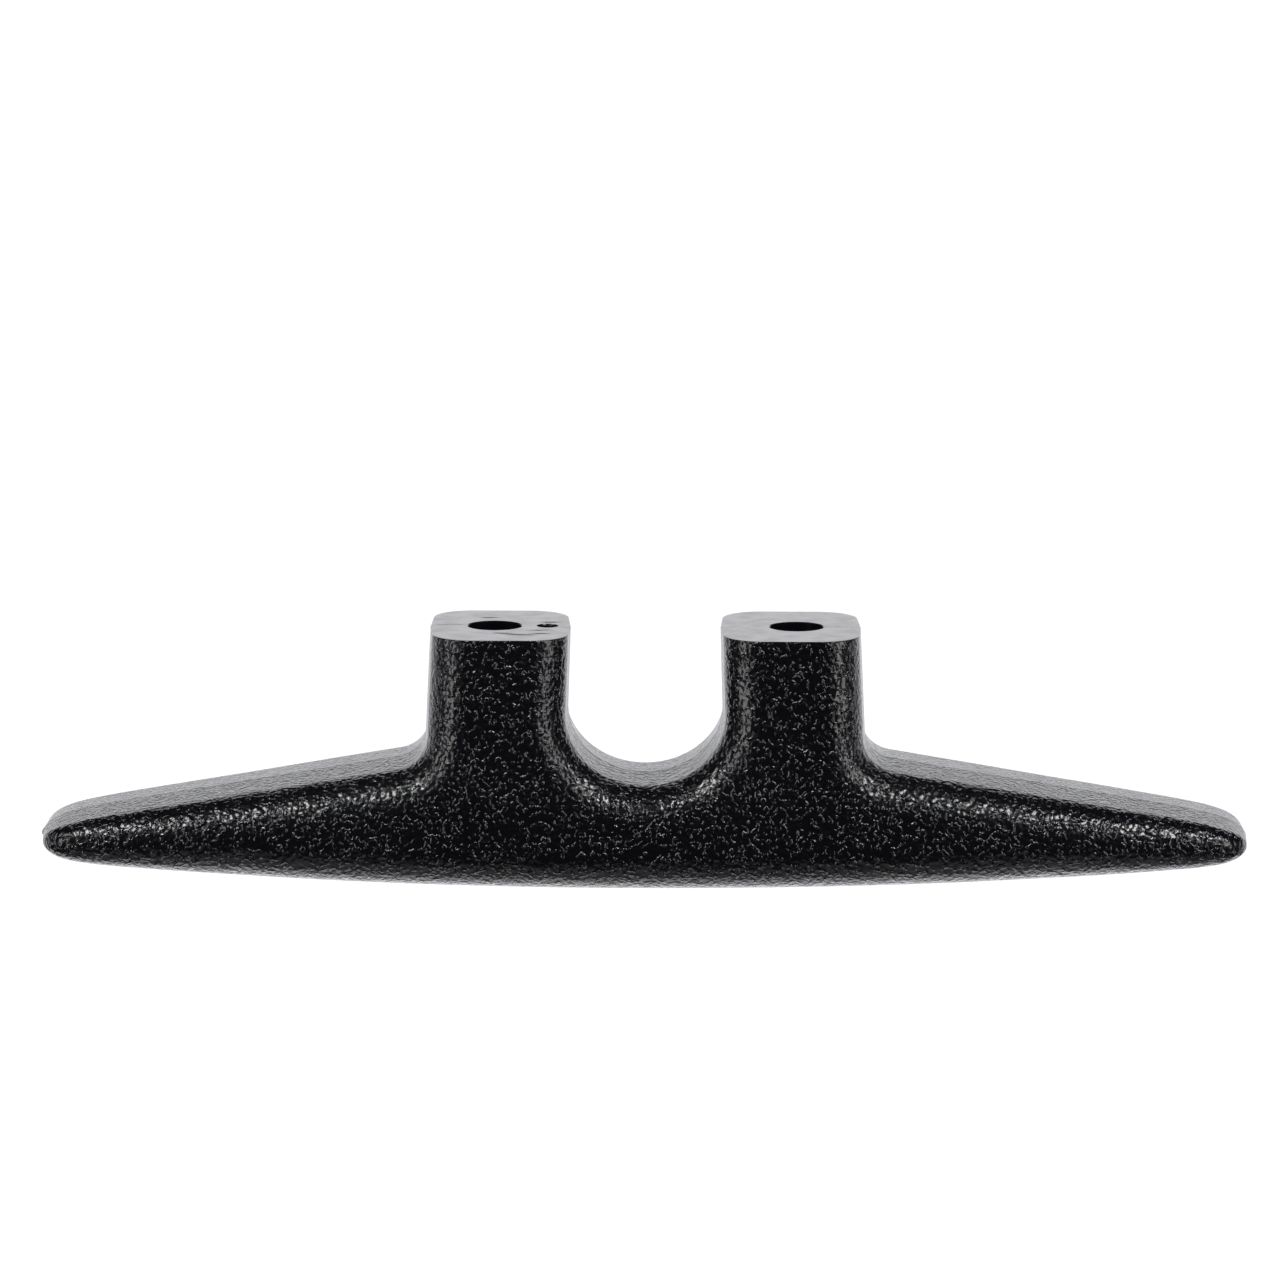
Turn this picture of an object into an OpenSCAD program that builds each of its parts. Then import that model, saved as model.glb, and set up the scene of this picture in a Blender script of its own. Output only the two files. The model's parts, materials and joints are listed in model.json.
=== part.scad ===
// Open-base horn cleat, moulded in one piece.
// The two feet stand on Z = 0, the horns run along X and the crown is up.
// The origin is the middle of the deck face, halfway between the two bores.
// The mould parts on the plane Y = 0, so the front and back halves mirror each other.

/* [Overall] */
// Length over the horn tips
length = 152.4; // [140:0.1:170]
// Height from the deck to the top of the crown
height = 32.5; // [30:0.1:36]
// How much lower the crown is at the horn tips than in the middle
crown_drop = 3.2; // [2:0.1:4]

/* [Horns] */
// Height of the horn's underside where it would meet the leg
belly_root_z = 16.2; // [15:0.1:18]
// Upward slope of the horn's underside towards the tip, degrees
belly_slope = 9.5; // [7:0.1:10]
// Bluntness of the horn's nose seen from the side
nose_power = 32; // [20:1:44]
// Narrowing of each side of the horn between its root and its tip
horn_taper = 3.4; // [2:0.1:4.5]
// Radius of the blend between horn and leg
leg_fillet = 4; // [3:0.1:5]

/* [Legs] */
// Depth of a foot, front to back
foot_depth = 22.4; // [20:0.1:26]
// Distance from the middle to the outer side of a leg at the deck
leg_outer = 27.15; // [26:0.05:29]
// How far that outer side leans out on its way up to the horn
leg_outer_lean = 0.6; // [0.2:0.05:1]
// Half of the gap between the feet at the deck
leg_inner = 9.45; // [8.5:0.05:10]
// How far the inner side has leaned back where the arch begins
leg_inner_lean = 0.3; // [0.1:0.05:0.6]
// Height of the top of the arch between the legs
arch_top = 18.65; // [17:0.1:20]
// Height of the curved part of the arch
arch_rise = 8.6; // [7:0.1:10]

/* [Moulding] */
// Radius along the front and back edges
edge_radius = 5; // [3.5:0.1:5.5]
// Draft away from the parting plane, degrees
draft = 2.5; // [0.5:0.1:3]
// Slope of the front and back faces, wider towards the crown, degrees
face_slope = 2.4; // [0:0.1:3]

/* [Bores] */
// Distance between the two bores
bore_pitch = 38.1; // [36:0.1:40]
// Diameter of a bore
bore_d = 6.8; // [4:0.1:8]
// Diameter of the countersink at the crown
sink_d = 12.8; // [9:0.1:14]
// Full angle of the countersink, degrees
sink_angle = 90; // [80:1:100]

/* [Hidden] */
$fn = 96;

// Points along each stretch of half the outline
arch_steps = 12;
leg_steps = 4;
horn_steps = 18;
fillet_steps = 8;
// Rings on the drafted wall and on the rounded edge of each half
wall_rings = 2;
edge_rings = 6;

// The edge radius uses at most this share of the distance to the middle of the section
round_share = 0.9;
overcut = 1;

half_length = length / 2;
fillet_sweep = 90 - belly_slope;
leg_top_outer = leg_outer + leg_outer_lean;
fillet_reach = leg_fillet * tan(fillet_sweep / 2);
fillet_centre = [
    leg_top_outer + leg_fillet,
    belly_line(leg_top_outer) - fillet_reach
];
horn_root_x = leg_top_outer + fillet_reach * cos(belly_slope);
arch_half = leg_inner + leg_inner_lean;
arch_spring_z = arch_top - arch_rise;
arch_root_x = arch_half + edge_radius;
// The nose is rounded about this point of the horn's middle line
nose_x = half_length - round_share * edge_radius;

function crown_line(x) = height - crown_drop * pow(x / half_length, 2);
function belly_line(x) = belly_root_z + (x - leg_outer - leg_outer_lean) * tan(belly_slope);
function middle_line(x) = (crown_line(x) + belly_line(x)) / 2;
function nose_factor(x) = sqrt(max(0, 1 - pow(x / half_length, nose_power)));
function half_thickness(x) = (crown_line(x) - belly_line(x)) / 2 * nose_factor(x);

// Half of the depth of the front and back faces at a point of the side view
function half_depth(x, z) =
    foot_depth / 2
    + z * tan(face_slope)
    - horn_taper * pow(max(0, abs(x) - horn_root_x) / (half_length - horn_root_x), 2);

// Stations along the horn, closer together towards the nose
horn_x = [
    for (i = [0 : horn_steps])
        horn_root_x + (half_length - horn_root_x) * sin(90 * i / horn_steps)
];

// An outline point is [x, z, inward x, inward z, distance it may move inward].
function inset_point(x, z, toward) =
    let (reach = norm(toward - [x, z]))
    [x, z, (toward[0] - x) / reach, (toward[1] - z) / reach, min(edge_radius, round_share * reach)];

function horn_point(x, side) =
    let (core_x = min(x, nose_x))
    inset_point(x, middle_line(x) + side * half_thickness(x), [core_x, middle_line(core_x)]);

function crown_point(x) = inset_point(x, crown_line(x), [x, crown_line(x) - 2 * edge_radius]);

arch_crown_part = [for (i = [0 : arch_steps - 1]) crown_point(arch_root_x * i / arch_steps)];
leg_crown_part = [
    for (i = [0 : leg_steps - 1])
        crown_point(arch_root_x + (horn_root_x - arch_root_x) * i / leg_steps)
];
horn_crown_part = [for (x = horn_x) horn_point(x, 1)];
horn_belly_part = [for (i = [horn_steps - 1 : -1 : 0]) horn_point(horn_x[i], -1)];
fillet_part = [
    for (i = [1 : fillet_steps])
        let (
            a = 90 + belly_slope + fillet_sweep * i / fillet_steps,
            out = [cos(a), sin(a)],
            p = fillet_centre + leg_fillet * out
        )
        inset_point(p[0], p[1], p + 2 * edge_radius * out)
];
leg_part = [
    [leg_outer, 0, -1, 0, edge_radius],
    [leg_inner, 0, 1, 0, edge_radius]
];
arch_part = [
    for (i = [0 : arch_steps - 1])
        let (
            a = 90 * i / arch_steps,
            p = [arch_half * cos(a), arch_spring_z + arch_rise * sin(a)],
            out = [arch_rise * cos(a), arch_half * sin(a)]
        )
        inset_point(p[0], p[1], p + 2 * edge_radius * out / norm(out))
];
keystone = [[0, arch_top, 0, 1, edge_radius]];

right_side = concat(
    arch_crown_part,
    leg_crown_part,
    horn_crown_part,
    horn_belly_part,
    fillet_part,
    leg_part,
    arch_part,
    keystone
);
left_side = [
    for (i = [len(right_side) - 2 : -1 : 1])
        let (p = right_side[i])
        [-p[0], p[1], -p[2], p[3], p[4]]
];
outline = concat(right_side, left_side);
outline_count = len(outline);

// A ring is named by how far it has gone: 0 to 1 up the drafted wall, then 0 to 90 degrees round the edge.
wall_levels = [for (i = [0 : wall_rings]) [i / wall_rings, 0]];
edge_levels = [for (i = [1 : edge_rings]) [1, 90 * i / edge_rings]];
half_levels = concat(wall_levels, edge_levels);
level_count = len(half_levels);

function ring_point(p, level, side) =
    let (
        face_y = half_depth(p[0] + p[2] * p[4], p[1] + p[3] * p[4]),
        wall_y = (face_y - p[4]) * level[0],
        inward = min(p[4], wall_y * tan(draft) + p[4] * (1 - cos(level[1])))
    )
    [p[0] + p[2] * inward, side * (wall_y + p[4] * sin(level[1])), p[1] + p[3] * inward];

rings = concat(
    [for (k = [level_count - 1 : -1 : 1]) [for (p = outline) ring_point(p, half_levels[k], 1)]],
    [for (k = [0 : level_count - 1]) [for (p = outline) ring_point(p, half_levels[k], -1)]]
);
ring_count = len(rings);

// Positions along the right side of the outline
leg_crown = arch_steps;
root_crown = leg_crown + leg_steps;
nose = root_crown + horn_steps;
root_belly = nose + horn_steps;
arch_spring = root_belly + fillet_steps + len(leg_part) + 1;
keystone_at = arch_spring + arch_steps;

function ring_index(k, i) = k * outline_count + (i + outline_count) % outline_count;
function turned(face) = [for (i = [len(face) - 1 : -1 : 0]) face[i]];

wall_faces = [
    for (k = [0 : ring_count - 2])
        for (i = [0 : outline_count - 1])
            for (face = [
                [ring_index(k, i), ring_index(k, i + 1), ring_index(k + 1, i + 1)],
                [ring_index(k, i), ring_index(k + 1, i + 1), ring_index(k + 1, i)]
            ])
                face
];

// The right half of an end: quads over the arch, one flat face on the leg, and quads along the horn
right_end = concat(
    [
        for (i = [0 : arch_steps - 1])
            [i, i + 1, keystone_at - i - 1, keystone_at - i]
    ],
    [concat(
        [for (i = [leg_crown : root_crown]) i],
        [for (i = [root_belly : arch_spring]) i]
    )],
    [
        for (i = [0 : horn_steps - 2])
            for (face = [
                [root_crown + i, root_crown + i + 1, root_belly - i - 1],
                [root_crown + i, root_belly - i - 1, root_belly - i]
            ])
                face
    ],
    [[nose - 1, nose, nose + 1]]
);
function end_faces(k) = [
    for (face = right_end)
        for (side = [1, -1])
            let (placed = [for (i = face) ring_index(k, side * i)])
            side > 0 ? placed : turned(placed)
];

module moulded_body() {
    polyhedron(
        points = [for (ring = rings) for (p = ring) p],
        faces = concat(
            wall_faces,
            [for (face = end_faces(0)) turned(face)],
            end_faces(ring_count - 1)
        ),
        convexity = 6
    );
}

module countersunk_bore() {
    sink_depth = (sink_d - bore_d) / 2 / tan(sink_angle / 2);
    crown_z = crown_line(bore_pitch / 2);
    translate([0, 0, -overcut])
        cylinder(d = bore_d, h = crown_z + 2 * overcut);
    translate([0, 0, crown_z - sink_depth])
        cylinder(d1 = bore_d, d2 = sink_d, h = sink_depth);
    translate([0, 0, crown_z])
        cylinder(d = sink_d, h = overcut);
}

module cleat_horn() {
    color("#1c1c1e")
        difference() {
            moulded_body();
            for (side = [-1, 1])
                translate([side * bore_pitch / 2, 0, 0])
                    countersunk_bore();
        }
}

cleat_horn();
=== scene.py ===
"""Looks of the horn cleat: one black nylon moulding with a fine grain, smooth feet and countersunk bores.

The shape follows the CAD node and is built in millimetres. The horns run along X, the feet stand on Z = 0
and the mould parts on Y = 0. One quarter of the skin is made as patches of points and faces, and mirrored
twice: grids for the drafted walls, rounds and foot, and loose triangles for the flat front.
"""

import json
import math

import bmesh
import bpy
import numpy as np
from mathutils import Matrix, Vector, noise
from mathutils.geometry import delaunay_2d_cdt


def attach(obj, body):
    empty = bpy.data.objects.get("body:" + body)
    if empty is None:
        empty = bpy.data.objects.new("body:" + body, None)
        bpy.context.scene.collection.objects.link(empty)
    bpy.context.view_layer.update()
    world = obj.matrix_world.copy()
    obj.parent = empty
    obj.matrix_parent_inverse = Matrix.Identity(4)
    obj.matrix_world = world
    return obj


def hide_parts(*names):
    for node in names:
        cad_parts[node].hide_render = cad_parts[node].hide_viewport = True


MM = 0.001
NODE = "cleat_horn"
TINY = 1e-3

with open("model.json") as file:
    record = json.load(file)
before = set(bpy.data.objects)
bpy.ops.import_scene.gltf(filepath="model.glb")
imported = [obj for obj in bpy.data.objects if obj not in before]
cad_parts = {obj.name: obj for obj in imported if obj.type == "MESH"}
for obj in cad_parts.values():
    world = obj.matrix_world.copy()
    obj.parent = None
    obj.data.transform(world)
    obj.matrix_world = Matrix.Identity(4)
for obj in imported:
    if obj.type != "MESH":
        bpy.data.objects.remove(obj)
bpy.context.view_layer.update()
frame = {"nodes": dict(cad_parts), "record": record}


def cad_points():
    """The CAD node's vertices in millimetres."""
    mesh = frame["nodes"][NODE].data
    points = np.empty(len(mesh.vertices) * 3, np.float32)
    mesh.vertices.foreach_get("co", points)
    return points.reshape(-1, 3).astype(float) / MM


def mount_dims(name):
    return next(m["dims"] for m in frame["record"]["mounts"] if m["name"] == name)


# Sizes read from the CAD model, in millimetres
CAD = cad_points()
FOOT = CAD[CAD[:, 2] < TINY]
HALF_LENGTH = CAD[:, 0].max()
HEIGHT = CAD[:, 2].max()
LEG_OUTER = FOOT[:, 0].max()
LEG_INNER = np.abs(FOOT[:, 0]).min()
FOOT_HALF_DEPTH = FOOT[:, 1].max()
ARCH_TOP = CAD[np.abs(CAD[:, 0]) < TINY][:, 2].min()
BORE_PITCH = mount_dims("deck_screws")["spacing_x_mm"]
BORE_R = mount_dims("deck_screws")["hole_r_mm"]

# The rest of the section, as the CAD model has it
CROWN_DROP = 3.2
BELLY_ROOT_Z = 16.2
BELLY_SLOPE = math.radians(9.5)
NOSE_POWER = 32
HORN_TAPER = 3.4
LEG_FILLET = 4.0
LEG_OUTER_LEAN = 0.6
LEG_INNER_LEAN = 0.3
ARCH_RISE = 8.6
EDGE_RADIUS = 5.0
ROUND_SHARE = 0.9
DRAFT = math.radians(2.5)
FACE_SLOPE = math.radians(2.4)
SINK_R = 6.4

# Small shapes that only the visible model has
RIM_ROUND = 0.14
RIM_STEPS = 4
FLASH_HEIGHT = 0.004
FLASH_HALF_WIDTH = 0.14
MOUTH_BREAK = 0.12
WAVE_HEIGHT = 0.035
WAVE_LENGTH = 14.0
WAVE_SHIFTS = ((0.4, 0.7, 0.2), (9.3, 1.5, 7.9), (3.6, 12.8, 5.1))
WAVE_START_Z = 0.6
WAVE_FULL_Z = 3.5

# The nub moves only points this near the tip, within so many squared nub sizes of its middle
NUB_ZONE = 1.0
NUB_CUTOFF = 4.0
NUB_HEIGHT = 0.22
NUB_WIDTH = 0.35
NUB_LENGTH = 0.55
GATE_X = 12.4
GATE_R = 1.4
GATE_DEPTH = 0.6
GATE_STUB = 0.12
GATE_STUB_R = 0.4
GATE_DISH_POWER = 4
GATE_STEPS = 16

# Materials, with sizes and heights in millimetres
NYLON_BLACK = (0.003, 0.0025, 0.0043)
# Painted shade: the grain's low ground, off the raised wrinkles, gets this darker black
VALLEY_SHADE_BLACK = (0.0017, 0.0014, 0.0026)
NYLON_IOR = 1.53
BASE_ROUGHNESS = 0.2
VALLEY_ROUGHNESS = 0.22
RIDGE_ROUGHNESS = 0.13
RIDGE_FULL = 0.8
PATCH_SIZE = 18.0
PATCH_ROUGHNESS = 0.06
NOISE_MIDDLE = 0.5
WRINKLE_SIZE = 1.0
WRINKLE_WIDTH = 0.1
WRINKLE_HEIGHT = 0.085
BREAK_SIZE = 0.6
BREAK_RANGE = (0.4, 0.6)
BREAK_LEFT = 0.1
SWELL_SIZE = 0.62
SWELL_HEIGHT = 0.15
TOOTH_SIZE = 0.22
TOOTH_HEIGHT = 0.003

# Flow marks on the foot faces: centre and half sizes along X, Y and Z, in millimetres
FLOW_MARKS = [
    ((18.0, -5.7, 0), (1.6, 0.5, 5)),
    ((15.8, -6.5, 0), (2.2, 0.7, 5)),
    ((13.4, -5.8, 0), (1.5, 0.5, 5)),
    ((13.2, -3.4, 0), (1.7, 0.4, 5)),
    ((12.0, 2.6, 0), (1.6, 0.5, 5)),
    ((19.8, 5.8, 0), (1.5, 0.5, 5)),
    ((24.5, 0.6, 0), (2.0, 0.12, 5)),
    ((-24.4, -0.3, 0), (2.2, 0.12, 5)),
]
# A mark is full inside the first share of its half sizes, and gone past the second
MARK_FULL = 0.3
MARK_EDGE = 1.2
MARK_DRIFT = 1.2
MARK_DRIFT_SIZE = 2.5
MARK_ROUGHNESS = 0.26
RIPPLE_SIZE = 0.6
RIPPLE_HEIGHT = 0.1
SCRATCH_HEIGHT = 0.002
FOOT_PATCH_SIZE = 3.0
FOOT_PATCH_RANGE = (0.3, 0.7)
FOOT_ROUGHNESS = (0.15, 0.24)

# The mix node's sockets share their names, so these are their numbers
MIX_FACTOR = 0
MIX_VALUES = (2, 3)
MIX_COLORS = (6, 7)
MIX_COLOR_RESULT = 2

# Stage, lamps and camera, with lengths in metres
BACKDROP_LEVEL = 1.1
DIM_LEVEL = 0.018
DAYLIGHT = (0.985, 0.988, 1.02)
# Soft lights of the world: way to the light, degrees from it to its edge and to its full level, level
WORLD_LIGHTS = [
    ((0, 1, 0.17), 47, 31, 1.1),
    ((0, 1, -0.12), 32, 16, 0.24),
    ((0, 0.57, 0.82), 37, 14, 1.6),
    ((0, -0.2, 0.98), 42, 14, 0.4),
    ((0.84, 0.54, 0.1), 29, 17, 0.85),
    ((-0.84, 0.54, 0.1), 29, 17, 0.85),
]
FLOOR_WHITE = (0.45, 0.45, 0.45)
FLOOR_ROUGHNESS = 0.6
FLOOR_GLOW = 0.5
GLOW_WHITE = (1, 1, 1)
FLOOR_HALF = 3.0
FLOOR_GAP = 0.0002
# Lamps for each side: degrees round from the camera and up, width and height, radiance.
# The upper ones are upper in the picture, which shows the cleat upside down.
SIDE_BOX = (57, -8, (0.2, 0.8), 4.6)
UPPER_BOX = (44, -46, (0.17, 0.17), 26)
LAMP_DISTANCE = 0.7
VIEW_TILT = math.radians(10.04)
VIEW_ROLL = math.radians(0.22)
VIEW_DISTANCE = 1.25
VIEW_LENS = 278.4
CLIP_START = 0.05
CLIP_END = 50
# The camera's aim, in millimetres in its own picture from the cleat's origin
AIM_RIGHT = -0.71
AIM_UP = -1.77

# Joining, cutting and shading of the mesh, with lengths in millimetres
WELD_DISTANCE = 1e-4
FILL_TOLERANCE = 1e-5
FILL_INSIDE = 1
OVERCUT = 1.0
FOOT_FACING = -0.6
SHARP_ANGLE = math.radians(24)

# Steps along each stretch of the skin, and millimetres between the points inside the front face
ARCH_STEPS = 36
CROWN_STEPS = 60
HORN_STEPS = 110
FILLET_STEPS = 16
SIDE_STEPS = 26
FOOT_STEPS = 24
FACE_PITCH = 1.1
WALL_STEPS = 9
EDGE_STEPS = 13
BORE_SEGMENTS = 96

LEG_TOP_OUTER = LEG_OUTER + LEG_OUTER_LEAN
FILLET_SWEEP = math.pi / 2 - BELLY_SLOPE
FILLET_REACH = LEG_FILLET * math.tan(FILLET_SWEEP / 2)
HORN_ROOT_X = LEG_TOP_OUTER + FILLET_REACH * math.cos(BELLY_SLOPE)
ARCH_HALF = LEG_INNER + LEG_INNER_LEAN
ARCH_SPRING_Z = ARCH_TOP - ARCH_RISE
NOSE_X = HALF_LENGTH - ROUND_SHARE * EDGE_RADIUS


def smooth_step(low, high, value):
    t = np.clip((value - low) / (high - low), 0, 1)
    return t * t * (3 - 2 * t)


def crown_line(x):
    return HEIGHT - CROWN_DROP * (x / HALF_LENGTH) ** 2


def belly_line(x):
    return BELLY_ROOT_Z + (x - LEG_TOP_OUTER) * math.tan(BELLY_SLOPE)


def middle_line(x):
    return (crown_line(x) + belly_line(x)) / 2


def half_thickness(x):
    nose = np.sqrt(np.maximum(0, 1 - (x / HALF_LENGTH) ** NOSE_POWER))
    return (crown_line(x) - belly_line(x)) / 2 * nose


def rim_cut(z):
    """How far the skin draws in at the sharp rim of a foot."""
    rise = np.clip(RIM_ROUND - z, 0, RIM_ROUND)
    return RIM_ROUND - np.sqrt(RIM_ROUND**2 - rise**2)


def half_depth(x, z):
    past_root = np.maximum(0, x - HORN_ROOT_X) / (HALF_LENGTH - HORN_ROOT_X)
    return FOOT_HALF_DEPTH + z * math.tan(FACE_SLOPE) - HORN_TAPER * past_root**2 - rim_cut(z)


def inset(points, targets):
    """Outline rows: x, z, the direction inwards, and how far the edge round may move inwards."""
    way = targets - points
    far = np.linalg.norm(way, axis=1, keepdims=True)
    return np.hstack([points, way / far, np.minimum(EDGE_RADIUS, ROUND_SHARE * far)])


def crown_rows(x):
    points = np.column_stack([x, crown_line(x)])
    return inset(points, points - [0, 2 * EDGE_RADIUS])


def horn_rows(x, side):
    """Crown (side 1) or belly (side -1) of a horn. At its root the belly faces square to its own slope."""
    core_x = np.minimum(x, NOSE_X)
    core_z = middle_line(core_x)
    tilt = math.tan(BELLY_SLOPE) * (1 - smooth_step(HORN_ROOT_X, NOSE_X, x)) * (side < 0)
    points = np.column_stack([x, middle_line(x) + side * half_thickness(x)])
    return inset(points, np.column_stack([core_x - tilt * (core_z - points[:, 1]), core_z]))


def fillet_rows():
    turn = np.linspace(0, FILLET_SWEEP, FILLET_STEPS + 1) + math.pi / 2 + BELLY_SLOPE
    out = np.column_stack([np.cos(turn), np.sin(turn)])
    centre = np.array([LEG_TOP_OUTER + LEG_FILLET, belly_line(LEG_TOP_OUTER) - FILLET_REACH])
    points = centre + LEG_FILLET * out
    return inset(points, points + 2 * EDGE_RADIUS * out)


def arch_rows():
    """From the spring of the arch to its keystone."""
    turn = np.linspace(0, math.pi / 2, ARCH_STEPS + 1)
    points = np.column_stack([ARCH_HALF * np.cos(turn), ARCH_SPRING_Z + ARCH_RISE * np.sin(turn)])
    out = np.column_stack([ARCH_RISE * np.cos(turn), ARCH_HALF * np.sin(turn)])
    out /= np.linalg.norm(out, axis=1, keepdims=True)
    return inset(points, points + 2 * EDGE_RADIUS * out)


def side_rows(top_x, top_z, foot_x, inward):
    """A side of a leg, from its top down to the rounded rim of the foot."""
    straight = top_z + (RIM_ROUND - top_z) * np.linspace(0, 1, SIDE_STEPS + 1)
    rim = RIM_ROUND * (1 - np.sin(np.linspace(0, math.pi / 2, RIM_STEPS + 1)[1:]))
    z = np.concatenate([straight, rim])
    cut = rim_cut(z)
    x = foot_x + (top_x - foot_x) * z / top_z + inward * cut
    ones = np.ones_like(z)
    return np.column_stack([x, z, inward * ones, 0 * ones, EDGE_RADIUS - cut])


def skin_grid(rows):
    """Points from the parting plane over the drafted wall and round the edge, one row per outline row."""
    x, z, way_x, way_z, reach = rows.T[:, :, None]
    wall = half_depth(x + way_x * reach, z + way_z * reach) - reach
    flash = FLASH_HALF_WIDTH * np.array([0, 0.5, 1])
    share = np.linspace(0, 1, WALL_STEPS + 1)[1:]
    turn = np.linspace(0, math.pi / 2, EDGE_STEPS + 1)[1:]
    wall_y = np.hstack([flash + 0 * wall, flash[-1] + (wall - flash[-1]) * share])
    flash_out = FLASH_HEIGHT * np.maximum(0, 1 - (wall_y / FLASH_HALF_WIDTH) ** 2)
    wall_in = wall_y * math.tan(DRAFT) - flash_out
    edge_in = np.minimum(reach, wall * math.tan(DRAFT) + reach * (1 - np.cos(turn)))
    y = np.hstack([wall_y, wall + reach * np.sin(turn)])
    inward = np.hstack([wall_in, edge_in])
    return np.stack([x + way_x * inward, -y, z + way_z * inward], axis=-1)


def between(first, last, steps):
    """Straight rows of points from each point of first to the same point of last."""
    share = np.linspace(0, 1, steps + 1)[None, :, None]
    return first[:, None] + (last - first)[:, None] * share


def grid_faces(grid):
    """A grid of points as a patch: its points, and the quads between them."""
    index = np.arange(grid.shape[0] * grid.shape[1]).reshape(grid.shape[:2])
    quads = np.stack([index[:-1, :-1], index[:-1, 1:], index[1:, 1:], index[1:, :-1]], axis=-1)
    return grid.reshape(-1, 3), quads.reshape(-1, 4).tolist()


def front_face(edge):
    """The front face inside its edge, filled with triangles on a loose grid of inner points."""
    low, high = edge.min(axis=0), edge.max(axis=0)
    inner = [
        (x, z)
        for x in np.arange(low[0], high[0], FACE_PITCH)
        for z in np.arange(low[1], high[1], FACE_PITCH)
        if x > 0 and np.hypot(*(edge - (x, z)).T).min() > FACE_PITCH / 2
    ]
    points = [Vector(p) for p in [*edge.tolist(), *inner]]
    outline = list(range(len(edge)))
    corners, _, triangles, *_ = delaunay_2d_cdt(points, [], [outline], FILL_INSIDE, FILL_TOLERANCE)
    used, faces = np.unique(triangles, return_inverse=True)
    flat = np.array(corners)[used]
    return np.column_stack([flat[:, 0], -half_depth(*flat.T), flat[:, 1]]), faces.reshape(-1, 3).tolist()


def quarter_patches():
    """The skin of the quarter with x above 0 and y below 0, as patches of points and faces."""
    turn = np.linspace(0, math.pi / 2, HORN_STEPS + 1)
    horn_x = HORN_ROOT_X + (HALF_LENGTH - HORN_ROOT_X) * np.sin(turn)
    crown = crown_rows(np.linspace(0, HORN_ROOT_X, CROWN_STEPS + 1))
    fillet = fillet_rows()
    outer = side_rows(fillet[-1, 0], fillet[-1, 1], LEG_OUTER, -1)
    inner = side_rows(ARCH_HALF, ARCH_SPRING_Z, LEG_INNER, 1)
    horn = [horn_rows(horn_x, 1)[1:], horn_rows(horn_x, -1)[-2::-1]]
    outer_skin = skin_grid(np.vstack([crown, *horn, fillet[1:], outer[1:]]))
    inner_skin = skin_grid(np.vstack([inner[::-1], arch_rows()[1:]]))
    foot = between(inner_skin[0], outer_skin[-1], FOOT_STEPS)
    rim = between(inner_skin[: RIM_STEPS + 1, -1], outer_skin[: -RIM_STEPS - 2 : -1, -1], FOOT_STEPS)
    edge = np.vstack([outer_skin[:-RIM_STEPS, -1], rim[-1, -2:0:-1], inner_skin[RIM_STEPS:, -1]])
    grids = [grid_faces(grid) for grid in (outer_skin, inner_skin, foot, rim)]
    return [*grids, front_face(edge[:, [0, 2]])]


def closed_mesh(patches):
    """Joins the patches, and their mirror images in X and in Y, into one closed mesh."""
    corners, faces = [], []
    for points, patch_faces in patches:
        for mirror in ((1, 1), (-1, 1), (1, -1), (-1, -1)):
            start = sum(map(len, corners))
            faces += [[start + i for i in face] for face in patch_faces]
            corners.append(points * [*mirror, 1])
    mesh = bpy.data.meshes.new("skin")
    mesh.from_pydata(np.vstack(corners).tolist(), [], faces)
    bm = bmesh.new()
    bm.from_mesh(mesh)
    bmesh.ops.remove_doubles(bm, verts=bm.verts, dist=WELD_DISTANCE)
    bmesh.ops.dissolve_degenerate(bm, edges=bm.edges, dist=WELD_DISTANCE)
    bmesh.ops.recalc_face_normals(bm, faces=bm.faces)
    bm.to_mesh(mesh)
    bm.free()
    return mesh


def waviness(point):
    """A slow wander, from one noise at three places, because noise_vector differs from run to run."""
    place = point / WAVE_LENGTH
    return Vector([noise.noise(place + Vector(shift)) for shift in WAVE_SHIFTS]) * WAVE_HEIGHT


def settle(mesh):
    """Adds the slight waviness of a thick moulding, and the nub that the mould leaves on one tip."""
    for vertex in mesh.vertices:
        p = vertex.co
        share = float(smooth_step(WAVE_START_Z, WAVE_FULL_Z, p.z))
        p += waviness(p) * share
        off_nub = (p.y / NUB_WIDTH) ** 2 + ((p.z - middle_line(HALF_LENGTH)) / NUB_LENGTH) ** 2
        if p.x > HALF_LENGTH - NUB_ZONE and off_nub < NUB_CUTOFF:
            p.x += NUB_HEIGHT * math.exp(-off_nub)


def turned(profile, centre_x):
    """A closed solid of revolution about a vertical axis, from (radius, z) points with both ends on it."""
    bm = bmesh.new()
    points = [bm.verts.new((centre_x + r, 0, z)) for r, z in profile]
    edges = [bm.edges.new(pair) for pair in zip(points, points[1:])]
    bmesh.ops.spin(
        bm,
        geom=points + edges,
        cent=(centre_x, 0, 0),
        axis=(0, 0, 1),
        angle=2 * math.pi,
        steps=BORE_SEGMENTS,
        use_merge=True,
    )
    bmesh.ops.remove_doubles(bm, verts=bm.verts, dist=WELD_DISTANCE)
    bmesh.ops.recalc_face_normals(bm, faces=bm.faces)
    mesh = bpy.data.meshes.new("turned")
    bm.to_mesh(mesh)
    bm.free()
    return mesh


def bore_profile():
    """Mouth at the foot with its edge just broken, plain wall, and countersink at the crown."""
    crown_z = crown_line(BORE_PITCH / 2)
    sink_start = crown_z - (SINK_R - BORE_R)
    return [
        (0, -OVERCUT),
        (BORE_R + MOUTH_BREAK, -OVERCUT),
        (BORE_R + MOUTH_BREAK, 0),
        (BORE_R, MOUTH_BREAK),
        (BORE_R, sink_start),
        (SINK_R, crown_z),
        (SINK_R + OVERCUT, crown_z + OVERCUT),
        (0, crown_z + OVERCUT),
    ]


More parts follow.
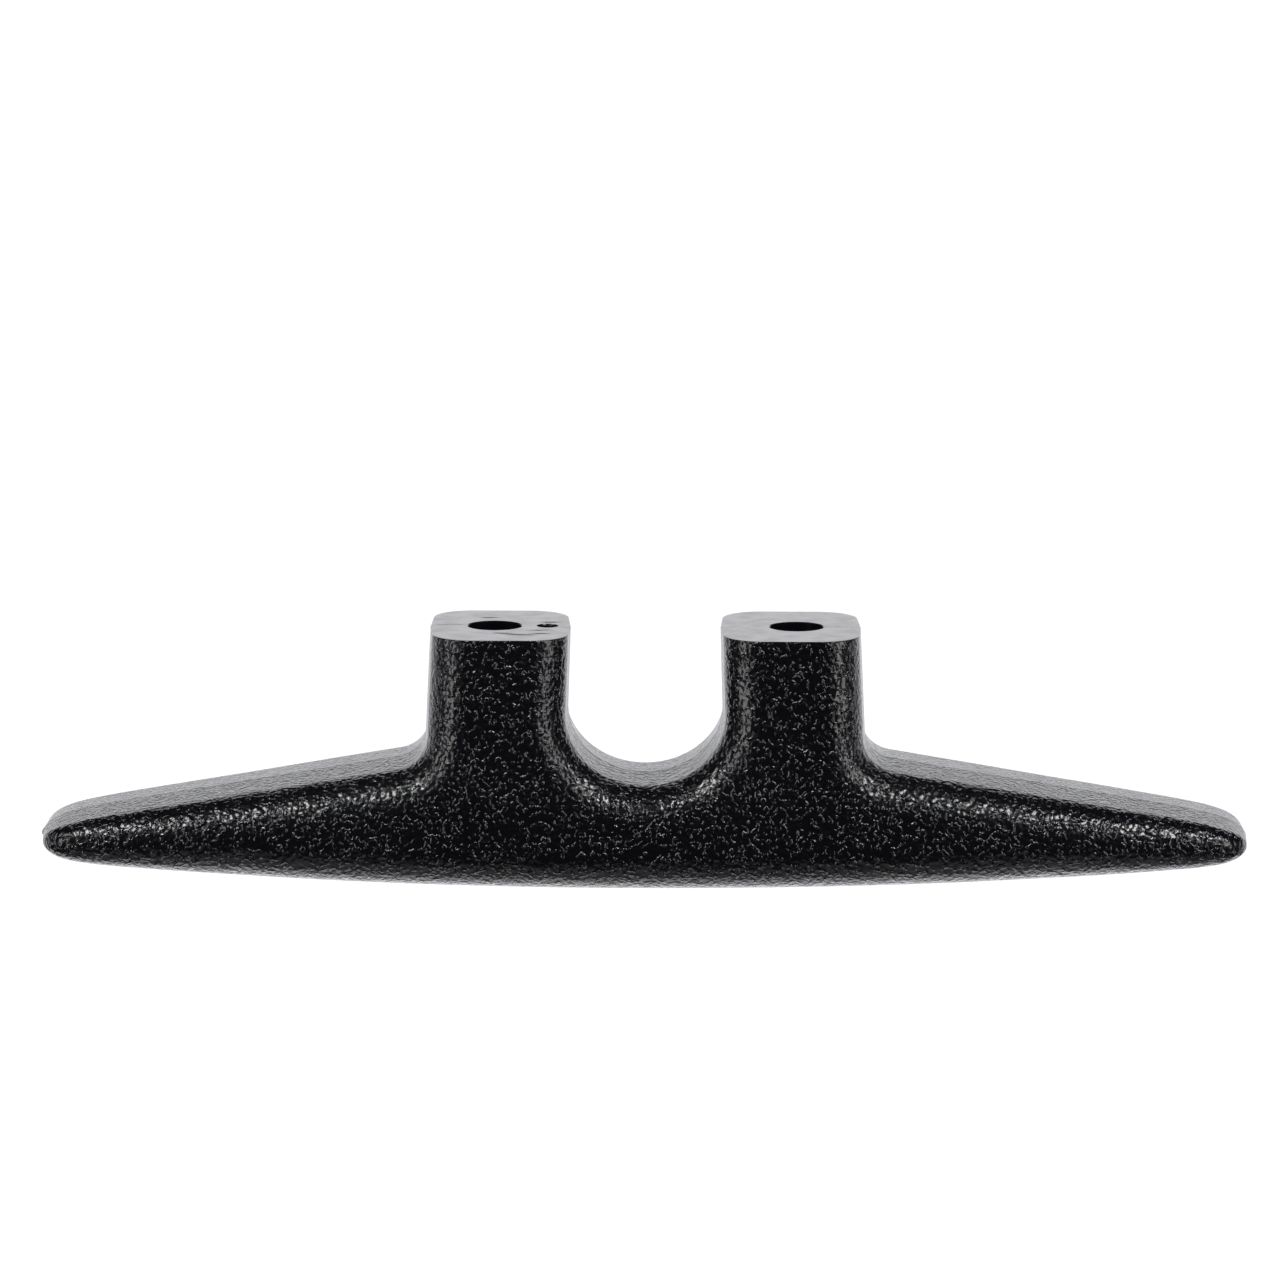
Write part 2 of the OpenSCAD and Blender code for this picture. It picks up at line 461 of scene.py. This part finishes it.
def gate_profile():
    """The shallow dish round a gate, with the stub of the runner in its middle."""
    r = np.linspace(0, GATE_R, GATE_STEPS)
    dish = GATE_DEPTH * (1 - (r / GATE_R) ** GATE_DISH_POWER)
    stub = GATE_STUB * np.exp(-((r / GATE_STUB_R) ** 2))
    return [*zip(r, dish - stub), (GATE_R, -OVERCUT), (0, -OVERCUT)]


def cut(mesh, cutters):
    """The mesh less the cutters, by exact booleans."""
    body = bpy.data.objects.new("uncut", mesh)
    bpy.context.scene.collection.objects.link(body)
    tools = []
    for number, cutter in enumerate(cutters):
        tool = bpy.data.objects.new(f"cutter_{number}", cutter)
        bpy.context.scene.collection.objects.link(tool)
        difference = body.modifiers.new(tool.name, "BOOLEAN")
        difference.operation = "DIFFERENCE"
        difference.solver = "EXACT"
        difference.object = tool
        tools.append(tool)
    graph = bpy.context.evaluated_depsgraph_get()
    result = bpy.data.meshes.new_from_object(body.evaluated_get(graph), depsgraph=graph)
    for spent in (body, *tools):
        bpy.data.objects.remove(spent)
    return result


def is_smooth(face):
    """True for the foot faces and for everything inside the bores, which carry no grain."""
    centre = face.center
    from_axis = math.hypot(abs(centre.x) - BORE_PITCH / 2, centre.y)
    return from_axis < SINK_R or (centre.z < GATE_DEPTH and face.normal.z < FOOT_FACING)


def moulded_cleat(grained, plain):
    """The whole moulding, standing in for the CAD node."""
    mesh = closed_mesh(quarter_patches())
    settle(mesh)
    bores = [turned(bore_profile(), side * BORE_PITCH / 2) for side in (-1, 1)]
    mesh = cut(mesh, [*bores, turned(gate_profile(), GATE_X)])
    mesh.materials.clear()
    mesh.materials.append(grained)
    mesh.materials.append(plain)
    for face in mesh.polygons:
        face.use_smooth = True
        face.material_index = int(is_smooth(face))
    mesh.set_sharp_from_angle(angle=SHARP_ANGLE)
    mesh.transform(Matrix.Scale(MM, 4))
    mesh.name = "moulded_cleat"
    piece = bpy.data.objects.new("moulded_cleat", mesh)
    bpy.context.scene.collection.objects.link(piece)
    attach(piece, "root")
    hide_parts(NODE)


def add_node(tree, kind, inputs=None, **settings):
    """A shader node with its settings, and its inputs set to numbers or linked to sockets."""
    made = tree.nodes.new(kind)
    for name, value in settings.items():
        setattr(made, name, value)
    for name, value in (inputs or {}).items():
        if isinstance(value, bpy.types.NodeSocket):
            tree.links.new(value, made.inputs[name])
        else:
            made.inputs[name].default_value = value
    return made


def calculate(tree, operation, *values):
    made = add_node(tree, "ShaderNodeMath", dict(enumerate(values)), operation=operation)
    return made.outputs[0]


def ramp(tree, value, low, high, low_out, high_out):
    """value moved from one range to another, smoothly and without going past its ends."""
    made = add_node(
        tree,
        "ShaderNodeMapRange",
        {"Value": value, "From Min": low, "From Max": high, "To Min": low_out, "To Max": high_out},
        interpolation_type="SMOOTHSTEP",
    )
    return made.outputs["Result"]


def black_nylon(name):
    """A new material with the nylon's shader values, and the position in millimetres for its patterns."""
    material = bpy.data.materials.new(name)
    material.use_nodes = True
    tree = material.node_tree
    shader = tree.nodes["Principled BSDF"]
    shader.inputs["Base Color"].default_value = (*NYLON_BLACK, 1)
    shader.inputs["Roughness"].default_value = BASE_ROUGHNESS
    shader.inputs["IOR"].default_value = NYLON_IOR
    place = add_node(tree, "ShaderNodeTexCoord").outputs["Object"]
    scaled = add_node(tree, "ShaderNodeVectorMath", {0: place, "Scale": 1 / MM}, operation="SCALE")
    return material, tree, shader, scaled.outputs[0]


def noise_at(tree, place, size, detail, output="Fac"):
    """Noise whose features are about size millimetres across."""
    made = add_node(tree, "ShaderNodeTexNoise", {"Vector": place, "Scale": 1 / size, "Detail": detail})
    return made.outputs[output]


def vector_math(tree, operation, *values, output=0):
    made = add_node(tree, "ShaderNodeVectorMath", dict(enumerate(values)), operation=operation)
    return made.outputs[output]


def add_bump(tree, shader, height):
    """Gives the shader a relief of this height in millimetres."""
    bump = add_node(tree, "ShaderNodeBump", {"Height": height, "Distance": MM, "Strength": 1.0})
    tree.links.new(bump.outputs[0], shader.inputs["Normal"])


def grained_nylon():
    """Leathery mould grain: thin wrinkles that curl and break off, on a slow swell, with a fine tooth."""
    material, tree, shader, place = black_nylon("grained_nylon")
    wander = calculate(tree, "SUBTRACT", noise_at(tree, place, WRINKLE_SIZE, 1), NOISE_MIDDLE)
    wrinkle = ramp(tree, calculate(tree, "ABSOLUTE", wander), 0, WRINKLE_WIDTH, 1, 0)
    unbroken = ramp(tree, noise_at(tree, place, BREAK_SIZE, 0), *BREAK_RANGE, BREAK_LEFT, 1)
    ridge = calculate(tree, "MULTIPLY", wrinkle, unbroken)
    swell = calculate(tree, "MULTIPLY", noise_at(tree, place, SWELL_SIZE, 0), SWELL_HEIGHT)
    tooth = calculate(tree, "MULTIPLY_ADD", noise_at(tree, place, TOOTH_SIZE, 1), TOOTH_HEIGHT, swell)
    add_bump(tree, shader, calculate(tree, "MULTIPLY_ADD", ridge, WRINKLE_HEIGHT, tooth))
    patches = calculate(tree, "MULTIPLY", noise_at(tree, place, PATCH_SIZE, 3), PATCH_ROUGHNESS)
    worn = ramp(tree, ridge, 0, RIDGE_FULL, VALLEY_ROUGHNESS, RIDGE_ROUGHNESS)
    tree.links.new(calculate(tree, "ADD", worn, patches), shader.inputs["Roughness"])
    # Painted shade: the base colour runs from the darker black off the wrinkles to the nylon's own black on
    # them
    valley_shade_tint = add_node(tree, "ShaderNodeMix", {MIX_FACTOR: ridge}, data_type="RGBA")
    for socket, color in zip(MIX_COLORS, (VALLEY_SHADE_BLACK, NYLON_BLACK)):
        valley_shade_tint.inputs[socket].default_value = (*color, 1)
    tree.links.new(valley_shade_tint.outputs[MIX_COLOR_RESULT], shader.inputs["Base Color"])
    return material


def flow_marks(tree, place):
    """How strongly the flow marks of the melt show on the foot faces, from 0 to 1."""
    wander = noise_at(tree, place, MARK_DRIFT_SIZE, 2, "Color")
    drift = vector_math(tree, "MULTIPLY_ADD", wander, (MARK_DRIFT,) * 3, place)
    total = 0.0
    for centre, half_size in FLOW_MARKS:
        moved = Vector(centre) + Vector((MARK_DRIFT / 2,) * 3)
        from_centre = vector_math(tree, "SUBTRACT", drift, moved)
        scaled = vector_math(tree, "DIVIDE", from_centre, half_size)
        far = vector_math(tree, "LENGTH", scaled, output="Value")
        total = calculate(tree, "MAXIMUM", ramp(tree, far, MARK_FULL, MARK_EDGE, 1, 0), total)
    return total


def plain_nylon():
    """The smooth faces of feet and bores, with the marks that the melt left as it met round the bores."""
    material, tree, shader, place = black_nylon("plain_nylon")
    marks = flow_marks(tree, place)
    patches = ramp(tree, noise_at(tree, place, FOOT_PATCH_SIZE, 3), *FOOT_PATCH_RANGE, *FOOT_ROUGHNESS)
    rough = calculate(tree, "MULTIPLY_ADD", marks, MARK_ROUGHNESS, patches)
    tree.links.new(rough, shader.inputs["Roughness"])
    ripple = calculate(tree, "MULTIPLY", noise_at(tree, place, RIPPLE_SIZE, 1), marks)
    scratch = calculate(tree, "MULTIPLY", noise_at(tree, place, TOOTH_SIZE, 2), SCRATCH_HEIGHT)
    add_bump(tree, shader, calculate(tree, "MULTIPLY_ADD", ripple, RIPPLE_HEIGHT, scratch))
    return material


def aimed(place, target, up):
    """The matrix of a camera or lamp at place that looks at target, with up towards the top of its view."""
    back = (Vector(place) - Vector(target)).normalized()
    right = Vector(up).cross(back).normalized()
    axes = Matrix((right, back.cross(right), back)).transposed()
    return Matrix.LocRotScale(place, axes.to_quaternion(), None)


def link_new(name, data, matrix):
    made = bpy.data.objects.new(name, data)
    made.matrix_world = matrix
    bpy.context.scene.collection.objects.link(made)
    return made


def softbox(name, turn, height, size, radiance):
    """A rectangular area lamp aimed at the cleat, in degrees round from the camera's side and up."""
    turn, height = math.radians(turn), math.radians(height)
    flat_way = Vector((-math.sin(turn), -math.cos(turn), 0))
    way = flat_way * math.cos(height) + Vector((0, 0, math.sin(height)))
    lamp = bpy.data.lights.new(name, "AREA")
    lamp.shape = "RECTANGLE"
    lamp.size, lamp.size_y = size
    lamp.energy = radiance * math.pi * size[0] * size[1]
    link_new(name, lamp, aimed(way * LAMP_DISTANCE, (0, 0, 0), (0, 0, 1)))


def studio_world():
    """Dim, with soft lights behind the cleat, over its crown and at both sides of its back.

    The camera sees an even white in their place.
    """
    world = bpy.data.worlds.new("studio")
    bpy.context.scene.world = world
    world.use_nodes = True
    tree = world.node_tree
    way = add_node(tree, "ShaderNodeTexCoord").outputs["Generated"]
    level = DIM_LEVEL
    for toward, edge, full, radiance in WORLD_LIGHTS:
        nearness = vector_math(tree, "DOT_PRODUCT", way, Vector(toward).normalized(), output="Value")
        lit = ramp(tree, nearness, math.cos(math.radians(edge)), math.cos(math.radians(full)), 0, radiance)
        level = calculate(tree, "ADD", lit, level)
    seen = add_node(tree, "ShaderNodeLightPath").outputs["Is Camera Ray"]
    levels = dict(zip(MIX_VALUES, (level, BACKDROP_LEVEL)))
    shown = add_node(tree, "ShaderNodeMix", {MIX_FACTOR: seen, **levels})
    background = tree.nodes["Background"]
    background.inputs["Color"].default_value = (*DAYLIGHT, 1)
    tree.links.new(shown.outputs[0], background.inputs["Strength"])


def pale_floor():
    """A floor under the feet. It shows only from above, so that the camera below it sees the feet."""
    bm = bmesh.new()
    bmesh.ops.create_grid(bm, x_segments=1, y_segments=1, size=FLOOR_HALF)
    mesh = bpy.data.meshes.new("floor")
    bm.to_mesh(mesh)
    bm.free()
    floor = link_new("floor", mesh, Matrix.Translation((0, 0, -FLOOR_GAP)))
    for rays in ("visible_diffuse", "visible_glossy", "visible_shadow", "visible_transmission"):
        setattr(floor, rays, False)
    material = bpy.data.materials.new("pale_floor")
    material.use_nodes = True
    tree = material.node_tree
    paint = tree.nodes["Principled BSDF"]
    paint.inputs["Base Color"].default_value = (*FLOOR_WHITE, 1)
    paint.inputs["Roughness"].default_value = FLOOR_ROUGHNESS
    paint.inputs["Emission Color"].default_value = (*GLOW_WHITE, 1)
    paint.inputs["Emission Strength"].default_value = FLOOR_GLOW
    below = add_node(tree, "ShaderNodeNewGeometry").outputs["Backfacing"]
    clear = add_node(tree, "ShaderNodeBsdfTransparent").outputs[0]
    shown = add_node(tree, "ShaderNodeMixShader", {0: below, 1: paint.outputs[0], 2: clear})
    tree.links.new(shown.outputs[0], tree.nodes["Material Output"].inputs["Surface"])
    mesh.materials.append(material)


def photo_camera():
    """Looks at the feet from in front and a little below the deck face, with the crown downwards."""
    forward = Vector((0, math.cos(VIEW_TILT), math.sin(VIEW_TILT)))
    right = Vector((-1, 0, 0))
    up = right.cross(forward)
    up_rolled = up * math.cos(VIEW_ROLL) - right * math.sin(VIEW_ROLL)
    target = (right * AIM_RIGHT + up * AIM_UP) * MM
    data = bpy.data.cameras.new("camera")
    data.lens = VIEW_LENS
    data.clip_start = CLIP_START
    data.clip_end = CLIP_END
    place = target - forward * VIEW_DISTANCE
    bpy.context.scene.camera = link_new("camera", data, aimed(place, target, up_rolled))


bpy.context.scene.view_settings.view_transform = "Standard"
photo_camera()
studio_world()
pale_floor()
for side, name in ((-1, "left"), (1, "right")):
    for place, (turn, height, size, radiance) in (("side", SIDE_BOX), ("upper", UPPER_BOX)):
        softbox(f"{name}_{place}_box", turn * side, height, size, radiance)
moulded_cleat(grained_nylon(), plain_nylon())
